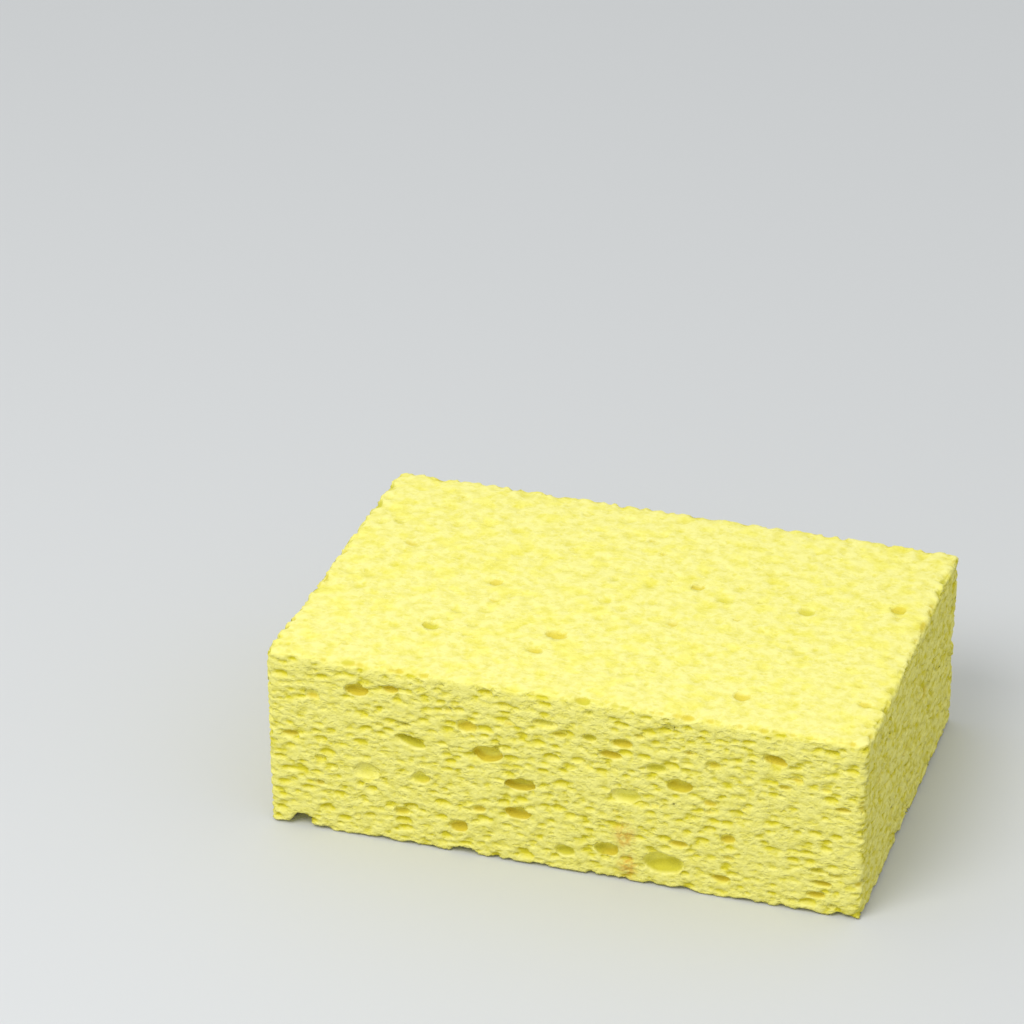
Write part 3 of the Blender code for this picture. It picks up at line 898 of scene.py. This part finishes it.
place = node("TexCoord").outputs["Object"]
squashed = node("Mapping", (), {"Vector": place, "Scale": CELL_SQUASH}).outputs["Vector"]
facing = node("SeparateXYZ", (), {0: node("TexCoord").outputs["Normal"]})
ends, up = facing.outputs["X"], facing.outputs["Z"]
up_squared = times(up, up)
hollow, dimple, opened = attribute("hollow"), attribute("dimple"), attribute("open")

# The grain is a bump in the surface, weaker on the broad faces.
coarse_share, fine_share = GRAIN_SHARES
coarse_grain = times(cell_grain(squashed, COARSE_GRAIN, 0.36), coarse_share)
fine_grain = times(ramp(noise(place, FINE_GRAIN, 2.0), 0.3, 0.7), fine_share)
grain = sums("ADD", coarse_grain, fine_grain)
on_sides = sums("SUBTRACT", 1.0, times(up_squared, 0.6))
bump = node(
    "Bump",
    {"invert": True},
    {"Strength": GRAIN_STRENGTH, "Distance": GRAIN_DEPTH, "Height": times(grain, on_sides)},
)
links.new(bump.outputs["Normal"], shader.inputs["Normal"])

# The open surface: painted shade in its dimples and grain, as deeper yellow, mottled most
# at the ends, and warmer in patches on the broad faces.
# Less painted shade in the dimples where the surface faces up, into the light from above.
less_shade_facing_up = sums("SUBTRACT", 1.0, ramp(up, 0.1, 0.8, 0.0, 0.55))
contrast = ramp(times(ends, ends), 0.3, 0.8, 1.0, 3.0)
mottle = ramp(noise(squashed, MOTTLE, 2.0), 0.3, 0.7, -0.20, 0.20)
painted_shade_and_mottle = times(times(ramp(dimple, *DIMPLE_DEPTHS), less_shade_facing_up), DIMPLE_PAINTED_SHADE)
painted_shade_and_mottle = sums("ADD", painted_shade_and_mottle, times(grain, GRAIN_PAINTED_SHADE))
painted_shade_and_mottle = sums("ADD", painted_shade_and_mottle, times(mottle, contrast))
patch = ramp(noise(place, PATCHES, 2.0), 0.45, 0.70, -0.50, 0.35)
warmth = sums("ADD", times(patch, up_squared), WARMTH)
yellow = blend(painted_shade_and_mottle, blend(warmth, PALE_YELLOW, WARM_YELLOW), DEEP_YELLOW)

# The pits carry painted light: a pale painted glow where they face down, and painted
# shade in ochre or olive where they face up. The wide, shallow ones are all olive.
olive = sums("MAXIMUM", ramp(noise(place, HUES, 0.0), 0.52, 0.70), ramp(opened, 0.2, 0.3))
pit_floor_shade = blend(olive, PIT_PAINTED_SHADE_OCHRE, PIT_PAINTED_SHADE_OLIVE)
pit = blend(ramp(up, -0.25, 0.6), PIT_PAINTED_GLOW, pit_floor_shade)
# A pit's deepest part gets the pale painted glow as well.
pit = blend(ramp(hollow, *DEEP_PIT_DEPTHS), pit, PIT_PAINTED_GLOW)
yellow = blend(ramp(hollow, *PIT_DEPTHS), yellow, pit)

# The brown mark: soft spots, broken up by speckles.
mark = 0.0
for middle, span in MARK_SPOTS:
    scale = tuple(1 / side for side in span)
    shift = tuple(-at / side for at, side in zip(middle, span))
    near = node("Mapping", (), {"Vector": place, "Location": shift, "Scale": scale})
    far = node("VectorMath", {"operation": "LENGTH"}, {0: near.outputs["Vector"]})
    mark = sums("MAXIMUM", ramp(far.outputs["Value"], 0.2, 1.15, 0.9, 0.0), mark)
mark = times(mark, ramp(noise(place, SPECKLES, 3.0), 0.34, 0.64, 0.15, 1.0))
links.new(blend(mark, yellow, BROWN_MARK), shader.inputs["Base Color"])
mesh.materials.append(foam)

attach(sponge, "root")
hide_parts("sponge_block")

# The floor: a plain pale sheet, not part of the sponge.
# It is paler to the camera than to the foam, so that it throws less light back up.
FLOOR_SIZE = 6.0
PAPER_SEEN = (0.66, 0.67, 0.68, 1)
PAPER_LIT = (0.42, 0.43, 0.44, 1)
PAPER_ROUGHNESS = 0.9
reach = FLOOR_SIZE / 2
floor_mesh = bpy.data.meshes.new("floor")
floor_mesh.from_pydata(
    [(-reach, -reach, 0), (reach, -reach, 0), (reach, reach, 0), (-reach, reach, 0)],
    [],
    [(0, 1, 2, 3)],
)
floor = bpy.data.objects.new("floor", floor_mesh)
bpy.context.scene.collection.objects.link(floor)
paper = bpy.data.materials.new("pale_floor")
paper.use_nodes = True
nodes, links = paper.node_tree.nodes, paper.node_tree.links
shader = nodes["Principled BSDF"]
shader.inputs["Roughness"].default_value = PAPER_ROUGHNESS
ray = node("LightPath")
seen = ray.outputs["Is Camera Ray"]
for kind in ("Is Glossy Ray", "Is Transmission Ray"):
    either = node("Math", {"operation": "ADD", "use_clamp": True}, {0: seen, 1: ray.outputs[kind]})
    seen = either.outputs[0]
links.new(blend(seen, PAPER_LIT, PAPER_SEEN), shader.inputs["Base Color"])
floor_mesh.materials.append(paper)

# The light: a wide soft lamp above, in front and to the left, in a pale grey room.
LAMP_WIDTH = 0.7
LAMP_POWER = 7.2
LAMP_PLACE = Vector((-0.25, -0.72, 0.95))
LAMP_AIM = Vector((0, 0, 0.02))
ROOM_COLOUR = (0.98, 1, 1, 1)
ROOM_STRENGTH = 0.72
lamp_data = bpy.data.lights.new("overhead", "AREA")
lamp_data.shape = "DISK"
lamp_data.size = LAMP_WIDTH
lamp_data.energy = LAMP_POWER
lamp = bpy.data.objects.new("overhead", lamp_data)
lamp.location = LAMP_PLACE
lamp.rotation_mode = "QUATERNION"
lamp.rotation_quaternion = (LAMP_AIM - LAMP_PLACE).to_track_quat("-Z", "Y")
bpy.context.scene.collection.objects.link(lamp)
world = bpy.data.worlds.new("room")
world.use_nodes = True
world.node_tree.nodes["Background"].inputs["Color"].default_value = ROOM_COLOUR
world.node_tree.nodes["Background"].inputs["Strength"].default_value = ROOM_STRENGTH
bpy.context.scene.world = world

# The camera: a long lens, a metre off, in front and a little to the right, looking down.
CAMERA_PLACE = Vector((0.2644, -0.9600, 0.5986))
CAMERA_AIM = Vector((-0.25855, 0.84621, -0.46593))
CAMERA_ROLL = math.radians(-0.478)
CAMERA_SENSOR = 36
CAMERA_LENS = 158.2
camera_data = bpy.data.cameras.new("camera")
camera_data.sensor_width = CAMERA_SENSOR
camera_data.lens = CAMERA_LENS
camera = bpy.data.objects.new("camera", camera_data)
camera.location = CAMERA_PLACE
camera.rotation_mode = "QUATERNION"
level = CAMERA_AIM.to_track_quat("-Z", "Y")
camera.rotation_quaternion = Matrix.Rotation(CAMERA_ROLL, 3, CAMERA_AIM).to_quaternion() @ level
bpy.context.scene.collection.objects.link(camera)
bpy.context.scene.camera = camera
bpy.context.scene.view_settings.view_transform = "Standard"
